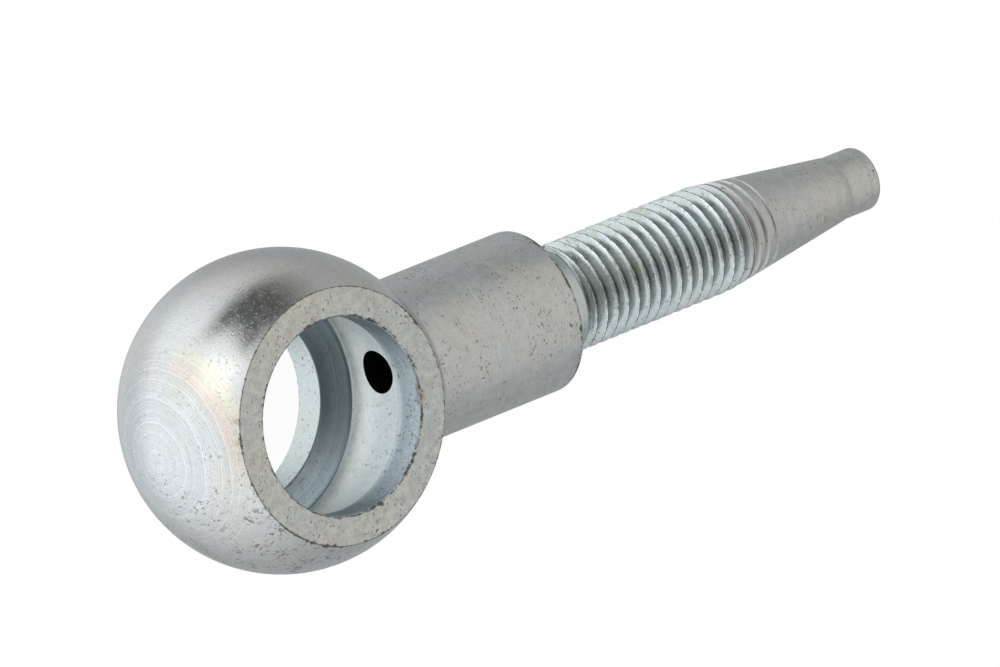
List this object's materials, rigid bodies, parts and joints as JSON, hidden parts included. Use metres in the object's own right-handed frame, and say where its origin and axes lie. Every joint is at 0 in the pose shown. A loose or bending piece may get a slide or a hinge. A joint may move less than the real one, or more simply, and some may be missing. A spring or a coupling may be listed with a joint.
{
  "type": "banjo fitting",
  "caption": "Ball-headed banjo fitting: a wide flat-faced eye with an oil chamber in its bore, and a drilled stem with a collar, a fine thread and a tapered hose nose.",
  "frame": {"origin": "centre of the ball, which is the middle of the cross bore", "axes": "+Z along the cross bore, square to the two sealing faces; +X along the stem, towards its tip"},
  "size_m": [0.0662, 0.023, 0.014],
  "materials": {
    "plated_steel": "satin"
  },
  "bodies": {
    "root": {"banjo_body": "plated_steel"}
  },
  "joints": []
}
